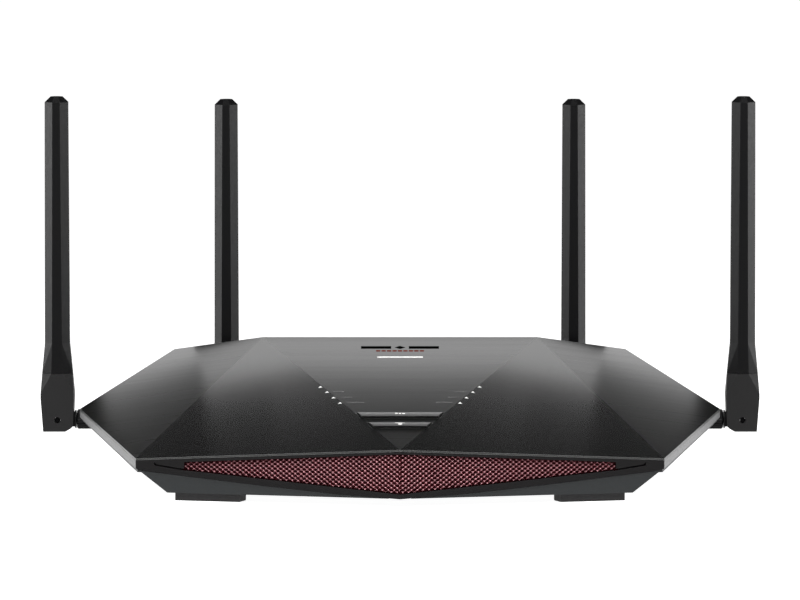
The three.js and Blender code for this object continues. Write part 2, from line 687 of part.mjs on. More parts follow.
function heatSink() {
  const foot = BOARD_TOP + GAP + SHIELD.height + GAP;
  const { halfX, front, rear, plate, fins, finPitch, finHeight, fin } = HEAT_SINK;
  const row = Array.from({ length: fins }, (_, i) => {
    const x = (i - (fins - 1) / 2) * finPitch;
    return block(x - fin / 2, x + fin / 2, front, rear, foot + plate / 2, foot + finHeight);
  });
  return join(block(-halfX, halfX, front, rear, foot, foot + plate), ...row);
}

// ---------------------------------------------------------------- lights and buttons

// A bar just under the cover, between two plan points.
function underCover(from, to, halfWidth) {
  const along = to.clone().sub(from).normalize();
  const across = new THREE.Vector2(-along.y, along.x).multiplyScalar(halfWidth);
  const corners = [from, to].flatMap((p) => [p.clone().add(across), p.clone().sub(across)]);
  const head = COVER_THICKNESS + GAP;
  return hull(corners.flatMap((p) => [head, head + LIGHT_CARRIER.thickness].map((depth) =>
    lifted(p, topHeight(p.x, p.y) - depth))));
}

function indicatorLightPipe() {
  const { halfWidth, bridgeHalfWidth, overhang } = LIGHT_CARRIER;
  const first = new THREE.Vector2(...PIPS[0]);
  const last = new THREE.Vector2(...PIPS.at(-1));
  const reach = last.clone().sub(first).normalize().multiplyScalar(overhang);
  const carrier = underCover(first.clone().sub(reach), last.clone().add(reach), halfWidth);
  const pips = PIPS.map((pip) => {
    const top = topHeight(...pip);
    const column = upright(pipOutline(pip, 0), top - COVER_THICKNESS - 1.5, top + 3);
    return column.intersect(surfaceLayer({}, 0, 6));
  });
  const bridge = underCover(new THREE.Vector2(-last.x, last.y), last, bridgeHalfWidth);
  return join(bothSides(join(carrier, ...pips)), bridge);
}

function statusLightBar() {
  const under = COVER_THICKNESS + GAP;
  return join(
    facetPrism(statusOutline(0), 0, under + FLANGE_DEPTH),
    facetPrism(statusOutline(FLANGE_REACH), -under, under + FLANGE_DEPTH),
  );
}

// A long key whose top rises towards the front and then levels off.
function buttonKey({ rear, front, rearHalf, frontHalf }, depth) {
  return hull(BUTTON_CROWN.flatMap(([share, height]) => {
    const y = rear + (front - rear) * share;
    const half = rearHalf + (frontHalf - rearHalf) * share;
    return [-half, half].flatMap((x) => [height, -depth].map((h) =>
      new THREE.Vector3(x, y, topHeight(0, y)).addScaledVector(CENTRE_FACET.normal, h)));
  }));
}

function coverButton(shape) {
  const under = COVER_THICKNESS + GAP;
  const flangeFoot = under + FLANGE_DEPTH;
  const stem = {
    rear: shape.rear - STEM.inset,
    front: shape.front + STEM.inset,
    rearHalf: STEM.halfWidth,
    frontHalf: STEM.halfWidth,
  };
  return join(
    buttonKey(shape, flangeFoot),
    facetPrism(trapezium(shape, FLANGE_REACH), -under, flangeFoot),
    facetPrism(trapezium(stem, 0), -under, flangeFoot + BUTTON_TRAVEL + STEM.reach),
  );
}

// ---------------------------------------------------------------- feet and screws

function foot(outline) {
  return upright(outline, 0, FLOOR_BOTTOM + FOOT_POCKET - GAP);
}

function screw(p) {
  return join(
    bar('z', SCREW.headRadius, SCREW.headFoot, SCREW.headTop, p, 12),
    bar('z', SCREW.shankRadius, SCREW.headTop - 0.5, SCREW.tip, p, 8),
  );
}

// ---------------------------------------------------------------- antenna, in its own frame

const ORIGIN = new THREE.Vector3();

// An eight-sided section at a height: its width and depth, and its flats across each.
function section(z, width, depth, frontFlat, sideFlat) {
  const points = [];
  for (const sx of [-1, 1]) {
    for (const sy of [-1, 1]) {
      points.push(new THREE.Vector3(sx * frontFlat / 2, sy * depth / 2, z));
      points.push(new THREE.Vector3(sx * width / 2, sy * sideFlat / 2, z));
    }
  }
  return points;
}

function antennaSleeve() {
  const blade = hull([
    ...section(SLEEVE.flareTop, ...SLEEVE_SECTION),
    ...section(SLEEVE.shoulder, ...SHOULDER_SECTION),
    ...section(SLEEVE.tip, ...TIP_SECTION),
  ]);
  const flare = hull([
    ...section(SLEEVE.foot + FINE_GAP, ...SEAM_SECTION),
    ...section(SLEEVE.flareTop, ...SLEEVE_SECTION),
  ]);
  const { halfX, halfY, head } = SLEEVE_BORE;
  return cut(join(blade, flare), block(-halfX, halfX, -halfY, halfY, 0, SLEEVE.shoulder - head));
}

function antennaRadiator() {
  const { halfX, halfY, foot: low, head } = RADIATOR;
  return block(-halfX, halfX, -halfY, halfY, SLEEVE.foot + low, SLEEVE.shoulder - head);
}

function antennaBase() {
  const { width, depth, shoulder, waist, foot: low } = BASE;
  const half = width / 2;
  const outline = [
    [-half, shoulder], [-half, waist], [BASE_HEEL, low], [BASE_TOE, low],
    ...BASE_CHIN, [half, waist], [half, shoulder],
  ];
  const head = hull([
    ...section(SLEEVE.foot, ...SEAM_SECTION),
    ...section(shoulder, width, depth, width, depth),
  ]);
  const slotHalf = TONGUE.thickness / 2 + GAP;
  const reach = TONGUE.halfHeight + 0.5;
  return cut(
    join(frontwise(outline, -depth / 2, depth / 2), head),
    block(-reach, 12, -slotHalf, slotHalf, low - 2, reach),
    bar('y', TONGUE.radius + 0.5, -slotHalf, slotHalf, ORIGIN, 24),
    bar('y', PIN_RADIUS + GAP, -20, 20, ORIGIN, 16),
  );
}

function antennaPin() {
  return bar('y', PIN_RADIUS, -BASE.depth / 2 + 0.6, BASE.depth / 2 - 0.6, ORIGIN, 12);
}

function antennaKnuckle() {
  const { thickness, radius, halfHeight, root } = TONGUE;
  return cut(
    join(
      bar('y', radius, -thickness / 2, thickness / 2, ORIGIN, 24),
      block(0, root + 0.2, -thickness / 2, thickness / 2, -halfHeight, halfHeight),
      bar('x', 4.4, root, NUT.start - GAP, ORIGIN, 20),
      bar('x', SPIGOT_RADIUS, root, NUT.end - 1, ORIGIN, 12),
    ),
    bar('y', PIN_RADIUS + GAP, -10, 10, ORIGIN, 16),
  );
}

// The nut that holds the antenna on its jack: a turned ring with chamfered ends.
function antennaNut() {
  const { radius, start, end } = NUT;
  const chamfer = 0.7;
  const bore = JACK_RADIUS + GAP;
  const profile = [
    [bore, start], [radius - chamfer, start], [radius, start + chamfer],
    [radius, end - chamfer], [radius - chamfer, end], [bore, end], [bore, start],
  ].map(([r, x]) => new THREE.Vector2(r, x));
  const ring = new THREE.LatheGeometry(profile, 24);
  ring.rotateZ(-Math.PI / 2);
  return solid(ring);
}

function antennaJack() {
  const back = SEAT_TO_PIN + BOSS_DEPTH;
  return cut(
    join(
      bar('x', JACK_RADIUS, NUT.start + 0.6, back + 3, ORIGIN, 16),
      bar('x', 4.6, back + GAP, back + 2.2, ORIGIN, 6),
    ),
    bar('x', SPIGOT_RADIUS + GAP, 0, NUT.end + 0.5, ORIGIN, 12),
  );
}

// ---------------------------------------------------------------- coaxial leads

const LEAD_RADIUS = 0.7;

// A thin round lead through the given points, from an antenna jack to the board.
function lead(points) {
  const round = new THREE.Shape();
  round.absarc(0, 0, LEAD_RADIUS, 0, 2 * Math.PI);
  return solid(new THREE.ExtrudeGeometry(round, {
    steps: 14,
    curveSegments: 3,
    bevelEnabled: false,
    extrudePath: new THREE.CatmullRomCurve3(points),
  }));
}

function sideLead() {
  const start = SIDE_SEAT.x - BOSS_DEPTH - 3 - GAP;
  return lead([
    new THREE.Vector3(start, SIDE_SEAT.y, SIDE_SEAT.z),
    new THREE.Vector3(start - 8, SIDE_SEAT.y - 1, SIDE_SEAT.z),
    new THREE.Vector3(96, 22, 22),
    new THREE.Vector3(84, -8, 20),
    new THREE.Vector3(72, -34, BOARD_TOP + 3),
    new THREE.Vector3(62, -38, BOARD_TOP + 2.2),
  ]);
}

function rearLead() {
  const start = REAR_SEAT.y - BOSS_DEPTH - 3 - GAP;
  return lead([
    new THREE.Vector3(REAR_SEAT.x, start, REAR_SEAT.z),
    new THREE.Vector3(REAR_SEAT.x, start - 8, REAR_SEAT.z),
    new THREE.Vector3(80, 50, 20),
    new THREE.Vector3(62, 20, 19),
    new THREE.Vector3(52, -14, BOARD_TOP + 3),
    new THREE.Vector3(47, -30, BOARD_TOP + 2.2),
  ]);
}

// ---------------------------------------------------------------- materials

function finish(color, roughness, metalness = 0) {
  return new THREE.MeshStandardMaterial({ color, roughness, metalness });
}

const FINISHES = {
  cover: finish('#26272a', 0.35),
  housing: finish('#2f3335', 0.6),
  fascia: finish('#2b2b2c', 0.5),
  trim: finish('#a3a4a8', 0.45),
  grille: finish('#7c2233', 0.4, 0.7),
  antenna: finish('#1f1f21', 0.65),
  button: finish('#303134', 0.35),
  light: finish('#f4f4f0', 0.3),
  board: finish('#14351f', 0.55),
  steel: finish('#a9abae', 0.35, 1),
  darkSteel: finish('#1c1c1e', 0.45, 1),
  aluminium: finish('#b9bcc0', 0.4, 1),
  brass: finish('#b08d45', 0.35, 1),
  socket: finish('#1a1a1c', 0.5),
  wanSocket: finish('#b7912c', 0.5),
  rubber: finish('#232325', 0.9),
  lead: finish('#3a3a3d', 0.6),
};

// ---------------------------------------------------------------- assembly

const router = new THREE.Group();

function place(name, body, material, group) {
  const mesh = new THREE.Mesh(geometryOf(body), FINISHES[material]);
  mesh.name = name;
  group.add(mesh);
}

const housing = new THREE.Group();
router.add(housing);

place('top_cover', topCover(), 'cover', housing);
place('bottom_tray', bottomTray(), 'housing', housing);
place('front_fascia', frontFascia(), 'fascia', housing);
place('front_grille', frontGrille(), 'grille', housing);
place('right_wing_trim', wingTrim(), 'trim', housing);
place('left_wing_trim', mirrored(wingTrim()), 'trim', housing);
place('rear_panel', rearPanel(), 'housing', housing);
place('main_board', mainBoard(), 'board', housing);
place('rf_shield', rfShield(), 'steel', housing);
place('heat_sink', heatSink(), 'aluminium', housing);
place('lan_sockets', networkSockets(LAN_X, LAN_COUNT), 'socket', housing);
place('wan_socket', networkSockets(WAN_X, 1), 'wanSocket', housing);
place('usb_port', usbPort(), 'steel', housing);
place('power_inlet', powerInlet(), 'socket', housing);
place('power_button', powerButton(), 'button', housing);
place('reset_button', resetButton(), 'button', housing);
place('indicator_light_pipe', indicatorLightPipe(), 'light', housing);
place('status_light_bar', statusLightBar(), 'light', housing);
place('wifi_button', coverButton(WIFI_BUTTON), 'button', housing);
place('wps_button', coverButton(WPS_BUTTON), 'button', housing);

for (const [end, outline] of Object.entries(footOutlines())) {
  place(`${end}_right_foot`, foot(outline), 'rubber', housing);
  place(`${end}_left_foot`, mirrored(foot(outline)), 'rubber', housing);
}

screwPoints().forEach((point, index) => place(`housing_screw_${index + 1}`, screw(point), 'steel', housing));

place('side_right_lead', sideLead(), 'lead', housing);
place('side_left_lead', mirrored(sideLead()), 'lead', housing);
place('rear_right_lead', rearLead(), 'lead', housing);
place('rear_left_lead', mirrored(rearLead()), 'lead', housing);

// Where each antenna stands, and how far it is turned about Z so that +X faces its seat.
const ANTENNAS = [
  { name: 'side_left', x: -SIDE_SEAT.x - SEAT_TO_PIN, y: SIDE_SEAT.y, z: SIDE_SEAT.z, turn: 0 },
  { name: 'side_right', x: SIDE_SEAT.x + SEAT_TO_PIN, y: SIDE_SEAT.y, z: SIDE_SEAT.z, turn: Math.PI },
  { name: 'rear_left', x: -REAR_SEAT.x, y: REAR_SEAT.y + SEAT_TO_PIN, z: REAR_SEAT.z, turn: -Math.PI / 2 },
  { name: 'rear_right', x: REAR_SEAT.x, y: REAR_SEAT.y + SEAT_TO_PIN, z: REAR_SEAT.z, turn: -Math.PI / 2 },
];

for (const { name, x, y, z, turn } of ANTENNAS) {
  const stand = new THREE.Group();
  stand.position.set(x, y, z);
  stand.rotation.z = turn;
  housing.add(stand);
  place(`${name}_sleeve`, antennaSleeve(), 'antenna', stand);
  place(`${name}_radiator`, antennaRadiator(), 'brass', stand);
  place(`${name}_base`, antennaBase(), 'antenna', stand);
  place(`${name}_pin`, antennaPin(), 'darkSteel', stand);
  place(`${name}_knuckle`, antennaKnuckle(), 'antenna', stand);
  place(`${name}_nut`, antennaNut(), 'antenna', stand);
  place(`${name}_jack`, antennaJack(), 'brass', stand);
}

// The footprint box runs from the apex to the back of the rear antenna bases.
const footprintRear = REAR_SEAT.y + SEAT_TO_PIN + BASE.width / 2;
housing.position.y = -(footprintRear - HALF_DEPTH) / 2;

export default router;
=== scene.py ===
"""Looks of the wireless router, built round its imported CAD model. Metres, +Z up, front towards -Y."""

import json
import math

import bmesh
import bpy
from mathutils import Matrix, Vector
from mathutils.bvhtree import BVHTree


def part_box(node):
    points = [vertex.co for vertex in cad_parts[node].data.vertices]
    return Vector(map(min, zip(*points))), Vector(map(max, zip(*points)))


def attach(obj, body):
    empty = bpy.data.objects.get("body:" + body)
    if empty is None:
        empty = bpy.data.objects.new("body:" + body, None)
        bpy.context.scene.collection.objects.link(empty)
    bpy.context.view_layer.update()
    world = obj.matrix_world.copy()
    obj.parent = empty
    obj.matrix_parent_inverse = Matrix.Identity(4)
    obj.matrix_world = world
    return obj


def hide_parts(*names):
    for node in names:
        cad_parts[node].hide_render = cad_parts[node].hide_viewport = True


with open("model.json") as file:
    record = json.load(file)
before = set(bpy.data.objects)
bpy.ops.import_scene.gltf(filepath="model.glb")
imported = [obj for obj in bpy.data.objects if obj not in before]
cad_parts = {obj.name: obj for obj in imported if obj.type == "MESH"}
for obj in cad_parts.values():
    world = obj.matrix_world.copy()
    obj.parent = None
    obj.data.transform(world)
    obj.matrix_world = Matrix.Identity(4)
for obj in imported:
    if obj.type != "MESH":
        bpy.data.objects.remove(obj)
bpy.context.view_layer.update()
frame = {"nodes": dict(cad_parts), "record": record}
NODES = frame["nodes"]
MM = 0.001

# ---------------------------------------------------------------- driving values

CAMERA_DISTANCE = 3.0
CAMERA_PITCH = math.radians(5.024)
CAMERA_TARGET_HEIGHT = 84.73 * MM
LENS = 290.9
SENSOR = 36

GRILLE_PITCH = Vector((2.7, 2.1)) * MM       # hole spacing across and up; every other row is offset
GRILLE_HOLE = Vector((1.05, 0.68)) * MM      # half width and half height of a hole
GRILLE_HOLE_FLAT = 0.42 * MM                 # half width of a hole's flat top
GRILLE_KNUCKLE = 0.22 * MM                   # how far strand crossings stand proud
GRILLE_SHEET = 0.45 * MM
GRILLE_SLOPE = 0.7                           # share of the knuckle's height just beside a crossing
GRILLE_GLINT_SHARE = 0.13                            # share of a strand that belongs to its crossings, which are painted with a lighter glint
GRILLE_INSET = Vector((1.1, 1.35)) * MM      # from the CAD sheet's edge to the perforated sheet's
# Thickness of the dark sheet behind the grille, which stands in for shade.
SHADE_SHEET = 0.3 * MM

# Edges are rounded by this much; flats that meet at less than FLAT_ANGLE are merged first.
SOFT_EDGE = 0.25 * MM
COVER_EDGE = 0.4 * MM
KEY_EDGE = 0.15 * MM
ANTENNA_EDGE = 0.2 * MM
FLAT_ANGLE = math.radians(0.3)
SHARP_ANGLE = math.radians(20)
EDGE_SEGMENTS = 2

DECAL_LIFT = 0.03 * MM
DECAL_STEP = 0.5 * MM                        # decals bend every so far along Y

# Outlines of the printed marks, in millimetres. A depth, rear or front is measured forwards from the rear
# edge of the node that the mark is on.
NAME_BAR = {"x": 11.4, "depth": 19.875, "half_width": 7.2, "half_height": 2.4}
NAME_DIAMOND = {"half_width": 2.6, "half_height": 2.9}
UNDERLINE = {"each_side": 4, "pitch": 2.6, "depth": 26.275, "half_width": 1.0, "half_height": 1.3}
WIFI_BARS = {
    "pitch": 1.6, "depth": 5.293, "outer_half_width": 0.62, "inner_half_width": 0.5, "half_height": 1.2,
}
WPS_BAR = {"half_width": 2.2, "rear": 3.003, "front": 4.303}
WPS_WEDGE = {"rear_half_width": 1.1, "front_half_width": 0.6, "rear": 5.303, "front": 8.103}

# The right-hand indicator lights, as x and y in millimetres, and how far towards the middle each one's row
# of dashes starts and ends.
PIPS = [(37.1, -3.6), (33.9, -12.9), (30.8, -22.8), (27.75, -32.2)]
LABEL_REACH = [(2.6, 4.4), (2.6, 8.2), (3.2, 8.6), (3.4, 11.2)]
LABEL_DASH = 1.5                             # spacing aimed at
LABEL_DASH_SHARE = 0.36                      # half a dash's width, as a share of the spacing
LABEL_HEIGHT = 1.3
LABEL_SHIFT = 0.4                            # rearwards of its light
LABEL_LEAST = 2                              # fewest dashes in a row

# Sprung contacts, measured from the outer end and the roof of a socket's stated opening.
CONTACTS = 8
CONTACT_PITCH = 1.02 * MM
CONTACT_WIDTH = 0.45 * MM
CONTACT_THICKNESS = 0.3 * MM
CONTACT_ROOT = 2 * MM
CONTACT_BEND = 3.5 * MM
CONTACT_BEND_DROP = 0.4 * MM
CONTACT_TIP = 2 * MM                         # from the opening's inner end
CONTACT_TIP_DROP = 3.6 * MM

# USB contacts, measured from the port's mouth.
USB_CONTACTS = 4
USB_CONTACT_PITCH = 2.3 * MM
USB_CONTACT_WIDTH = 1.1 * MM
USB_CONTACT_THICKNESS = 0.12 * MM
USB_CONTACT_ROOT = 1.6 * MM
USB_CONTACT_TIP = 9 * MM
USB_CONTACT_DROP = 0.35 * MM                 # below the port's middle

NUT_RIDGES = 26
NUT_RIDGE_DEPTH = 0.32 * MM
NUT_CHAMFER = 0.6 * MM
NUT_WALL = 1.25 * MM

# Area lights: place, aim, width and height in metres, and power in watts.
CREST_AIM = (0, 0, 0.06)
SIDE_AIM = (0, 0.1, 0.1)
AREA_LIGHTS = [
    ("rear_strip", (0, 0.096, 0.072), CREST_AIM, (0.2, 0.022), 0.018),
    ("upper_strip", (0, 0.1, 0.1), CREST_AIM, (0.14, 0.024), 0.001),
    ("left_wing_strip", (-0.125, 0.104, 0.064), (-0.107, 0, 0.05), (0.049, 0.018), 0.0046),
    ("right_wing_strip", (0.125, 0.104, 0.064), (0.107, 0, 0.05), (0.049, 0.018), 0.0046),
    ("top_box", (0, -0.42, 0.75), (0, -0.1, 0), (0.9, 0.7), 10),
    ("left_fill", (-0.5, -0.35, 0.2), (-0.12, 0, 0.08), (0.3, 0.3), 0.17),
    ("left_box", (-1.2, 0.35, 0.15), SIDE_AIM, (0.9, 0.3), 14),
    ("right_box", (1.2, 0.35, 0.15), SIDE_AIM, (0.9, 0.3), 14),
]
SKY_POWER = 0.4
SKY_SPREAD = math.radians(70)
SKY_TILT = math.radians(25)
WORLD_LEVEL = 0.02
FLOOR_HALF_SIZE = 15
FLOOR_GLOW = 0.95

# Sockets of Blender's colour Mix node.
MIX_A = 6
MIX_B = 7
MIX_RESULT = 2

# ---------------------------------------------------------------- materials


class Finish:
    """A Principled material with small helpers for its procedural detail, in object metres."""

    def __init__(self, name, color, roughness, metallic=0.0, specular=0.5, coat=0.0):
        self.material = bpy.data.materials.new(name)
        self.material.use_nodes = True
        self.tree = self.material.node_tree
        self.shader = self.tree.nodes["Principled BSDF"]
        self.shader.inputs["Base Color"].default_value = (*color, 1)
        self.shader.inputs["Roughness"].default_value = roughness
        self.shader.inputs["Metallic"].default_value = metallic
        self.shader.inputs["Specular IOR Level"].default_value = specular
        self.shader.inputs["Coat Weight"].default_value = coat
        self.normal = None

    def node(self, kind, **settings):
        made = self.tree.nodes.new(kind)
        for key, value in settings.items():
            setattr(made, key, value)
        return made

    def link(self, source, target):
        self.tree.links.new(source, target)

    def coordinates(self, stretch=(1, 1, 1)):
        source = self.node("ShaderNodeTexCoord")
        mapping = self.node("ShaderNodeMapping")
        mapping.inputs["Scale"].default_value = stretch
        self.link(source.outputs["Object"], mapping.inputs["Vector"])
        return mapping.outputs["Vector"]

    def noise(self, per_metre, detail=2.0, stretch=(1, 1, 1), roughness=0.5):
        made = self.node("ShaderNodeTexNoise")
        made.inputs["Scale"].default_value = per_metre
        made.inputs["Detail"].default_value = detail
        made.inputs["Roughness"].default_value = roughness
        self.link(self.coordinates(stretch), made.inputs["Vector"])
        return made.outputs["Fac"]

    def cells(self, per_metre, stretch=(1, 1, 1)):
        made = self.node("ShaderNodeTexVoronoi")
        made.inputs["Scale"].default_value = per_metre
        self.link(self.coordinates(stretch), made.inputs["Vector"])
        return made.outputs["Distance"]

    def remap(self, value, low, high, to_low, to_high):
        """Carries the range low to high over to the range to_low to to_high, and clips outside it."""
        made = self.node("ShaderNodeMapRange")
        limits = {"From Min": low, "From Max": high, "To Min": to_low, "To Max": to_high}
        for socket, number in limits.items():
            made.inputs[socket].default_value = number
        self.link(value, made.inputs["Value"])
        return made.outputs["Result"]

    def math(self, operation, a, b):
        made = self.node("ShaderNodeMath", operation=operation)
        for socket, value in zip(made.inputs, (a, b)):
            if isinstance(value, (int, float)):
                socket.default_value = value
            else:
                self.link(value, socket)
        return made.outputs["Value"]

    def mix(self, factor, a, b):
        """Blends two colours, each an output or a plain colour."""
        made = self.node("ShaderNodeMix", data_type="RGBA")
        self.link(factor, made.inputs["Factor"])
        for socket, value in zip((made.inputs[MIX_A], made.inputs[MIX_B]), (a, b)):
            if isinstance(value, tuple):
                socket.default_value = (*value, 1)
            else:
                self.link(value, socket)
        return made.outputs[MIX_RESULT]

    def edge_mask(self, radius):
        """1 within about a radius of an edge, 0 on the flats between edges."""
        bevel = self.node("ShaderNodeBevel", samples=4)
        bevel.inputs["Radius"].default_value = radius
        geometry = self.node("ShaderNodeNewGeometry")
        dot = self.node("ShaderNodeVectorMath", operation="DOT_PRODUCT")
        self.link(bevel.outputs["Normal"], dot.inputs[0])
        self.link(geometry.outputs["True Normal"], dot.inputs[1])
        return self.remap(dot.outputs["Value"], 0.994, 0.965, 0, 1)

    def facing(self, axis):
        """How strongly the true surface faces along an axis, 0 to 1, either way."""
        geometry = self.node("ShaderNodeNewGeometry")
        split = self.node("ShaderNodeSeparateXYZ")
        self.link(geometry.outputs["True Normal"], split.inputs["Vector"])
        return self.math("ABSOLUTE", split.outputs[axis], 0)

    def color(self, value):
        self.link(value, self.shader.inputs["Base Color"])

    def roughness(self, value):
        self.link(value, self.shader.inputs["Roughness"])

    def bump(self, height, depth, strength=1.0):
        made = self.node("ShaderNodeBump")
        made.inputs["Distance"].default_value = depth
        made.inputs["Strength"].default_value = strength
        self.link(height, made.inputs["Height"])
        if self.normal is not None:
            self.link(self.normal, made.inputs["Normal"])
        self.normal = made.outputs["Normal"]
        self.link(self.normal, self.shader.inputs["Normal"])


def tinted(color, factor):
    return tuple(min(1.0, channel * factor) for channel in color)


def moulded(name, color, roughness, grain=2600, depth=0.02 * MM, edge_wear_and_sheen=1.6, specular=0.5):
    """Moulded plastic: fine sparked grain, slow colour and gloss variation, edges lighter, partly as wear
    and partly as a painted highlight.
    """
    finish = Finish(name, color, roughness, specular=specular)
    cloud = finish.noise(60, 3)
    fine = finish.noise(grain, 2)
    shade = finish.mix(cloud, tinted(color, 0.86), tinted(color, 1.16))
    speck = finish.mix(finish.remap(fine, 0.35, 0.65, 0, 0.35), shade, tinted(color, 1.35))
    # Lighter edges: worn plastic, and at the larger factors a painted highlight along the edge.
    lightened_edges = finish.math("MULTIPLY", finish.edge_mask(0.35 * MM), 0.55)
    finish.color(finish.mix(lightened_edges, speck, tinted(color, edge_wear_and_sheen)))
    finish.roughness(finish.remap(finish.noise(900, 2), 0.3, 0.7, roughness - 0.04, roughness + 0.05))
    finish.bump(fine, depth, 0.6)
    return finish.material


def brushed_cover():
    """Semi-gloss cover: hairlines along X, but a fine grain on the front facets beside the centre one.
    Every edge carries a painted highlight, a much lighter line.
    """
    color = (0.003, 0.0031, 0.003)
    finish = Finish("cover_brushed", color, 0.3, specular=0.5)
    hairline = finish.noise(1, 2, stretch=(6, 1300, 6), roughness=0.6)
    streak = finish.noise(1, 1, stretch=(4, 900, 4))
    grain = finish.remap(finish.noise(2400, 1), 0, 1, 0.32, 0.68)
    sideways = finish.facing("X")
    textured = finish.math(
        "MULTIPLY",
        finish.remap(sideways, 0.05, 0.07, 0, 1),
        finish.remap(sideways, 0.115, 0.12, 1, 0))
    relief = finish.node("ShaderNodeMix", data_type="FLOAT")
    finish.link(textured, relief.inputs["Factor"])
    finish.link(hairline, relief.inputs["A"])
    finish.link(grain, relief.inputs["B"])
    height = relief.outputs["Result"]
    lines = finish.mix(finish.remap(streak, 0.35, 0.65, 0, 1), tinted(color, 0.95), tinted(color, 1.05))
    flecks = finish.mix(finish.remap(height, 0.45, 0.7, 0, 0.6), lines, tinted(color, 2.2))
    # Painted highlight: the edges are painted far lighter, standing in for the light caught along them.
    lightened_edges = finish.math("MULTIPLY", finish.edge_mask(0.3 * MM), 0.8)
    finish.color(finish.mix(lightened_edges, flecks, tinted(color, 60)))
    gloss = finish.remap(height, 0.3, 0.7, 0.27, 0.33)
    finish.roughness(finish.math("SUBTRACT", gloss, finish.remap(textured, 0, 1, 0, 0.06)))
    finish.bump(height, 0.004 * MM, 0.2)
    return finish.material


def key_top():
    """Satin key with a very fine grain; its sides are painted near black as painted shade, so its top reads
    much lighter.
    """
    color = (0.075, 0.075, 0.076)
    finish = Finish("button_satin", color, 0.3, specular=0.7)
    grain = finish.noise(2400, 2)
    top = finish.mix(finish.remap(grain, 0.3, 0.7, 0, 1), tinted(color, 0.92), tinted(color, 1.08))
    unshaded_top = finish.remap(finish.facing("Z"), 0.6, 0.85, 0, 1)
    # Painted shade: faces that do not face up are darkened to a twenty-fifth, for the dark gap round the
    # key.
    finish.color(finish.mix(unshaded_top, tinted(color, 0.04), top))
    finish.roughness(finish.remap(grain, 0.3, 0.7, 0.27, 0.34))
    finish.bump(grain, 0.001 * MM, 0.5)
    return finish.material


def dotted_trim():
    """Light grey satin trim with a fine dotted grain."""
    color = (0.06, 0.06, 0.061)
    finish = Finish("trim_satin", color, 0.45)
    dots = finish.cells(1100)
    cloud = finish.noise(90, 2)
    shade = finish.mix(cloud, tinted(color, 0.9), tinted(color, 1.1))
    dark = finish.remap(dots, 0.1, 0.5, 0.45, 0)
    finish.color(finish.mix(dark, shade, tinted(color, 0.55)))
    finish.roughness(finish.remap(dots, 0, 0.6, 0.58, 0.4))
    finish.bump(dots, 0.03 * MM, 0.5)
    return finish.material


def metal(name, color, roughness, stretch=(1, 1, 1)):
    """Bare metal with a drawn or rolled grain, faint stains and brighter edges."""
    finish = Finish(name, color, roughness, metallic=1.0)
    lines = finish.noise(900, 3, stretch=stretch)
    stain = finish.noise(140, 4)
    shade = finish.mix(finish.remap(stain, 0.35, 0.65, 0, 1), tinted(color, 0.78), tinted(color, 1.05))
    bright = finish.math("MULTIPLY", finish.edge_mask(0.2 * MM), 0.4)
    finish.color(finish.mix(bright, shade, tinted(color, 1.25)))
    finish.roughness(finish.remap(lines, 0.3, 0.7, roughness - 0.08, roughness + 0.12))
    finish.bump(lines, 0.01 * MM, 0.5)
    return finish.material


def grille_paint(name, color):
    """Metallic paint with fine flake and slow changes of shade."""
    finish = Finish(name, color, 0.34, metallic=0.55, coat=0.3)
    flake = finish.cells(5200)
    cloud = finish.noise(120, 2)
    shade = finish.mix(cloud, tinted(color, 0.75), tinted(color, 1.2))
    finish.color(finish.mix(finish.remap(flake, 0.0, 0.35, 0.5, 0), shade, tinted(color, 1.9)))
    finish.roughness(finish.remap(flake, 0, 0.6, 0.28, 0.42))
    finish.bump(flake, 0.01 * MM, 0.4)
    return finish.material


def solder_mask():
    """Green board: tracks under the mask show as faint lighter lines."""
    color = (0.008, 0.055, 0.022)
    finish = Finish("board_mask", color, 0.35, coat=0.3)
    tracks = finish.cells(420, stretch=(1, 1, 0.2))
    shade = finish.mix(finish.remap(tracks, 0.2, 0.5, 0, 1), tinted(color, 0.7), tinted(color, 1.6))
    finish.color(shade)
    finish.roughness(finish.remap(finish.noise(300, 2), 0.3, 0.7, 0.28, 0.45))
    finish.bump(tracks, 0.02 * MM, 0.4)
    return finish.material


def diffuser(name, color, glow):
    """Milky light guide, lit from behind, with a slight sink and cloudiness."""
    finish = Finish(name, color, 0.3)
    cloud = finish.noise(500, 2)
    finish.color(finish.mix(cloud, tinted(color, 0.93), color))
    finish.shader.inputs["Emission Color"].default_value = (*color, 1)
    finish.shader.inputs["Emission Strength"].default_value = glow
    finish.roughness(finish.remap(cloud, 0.3, 0.7, 0.22, 0.38))
    finish.bump(finish.noise(900, 2), 0.01 * MM, 0.3)
    return finish.material


def printed(name, color, glow=0.0):
    """Matt pad-printed ink with slightly uneven cover; glow is for marks that are lit from below."""
    finish = Finish(name, color, 0.85, specular=0.0)
    finish.shader.inputs["Emission Color"].default_value = (*color, 1)
    finish.shader.inputs["Emission Strength"].default_value = glow
    cover = finish.noise(1800, 2)
    finish.color(finish.mix(finish.remap(cover, 0.3, 0.7, 0, 1), tinted(color, 0.85), tinted(color, 1.1)))
    finish.roughness(finish.remap(cover, 0.3, 0.7, 0.77, 0.93))
    return finish.material


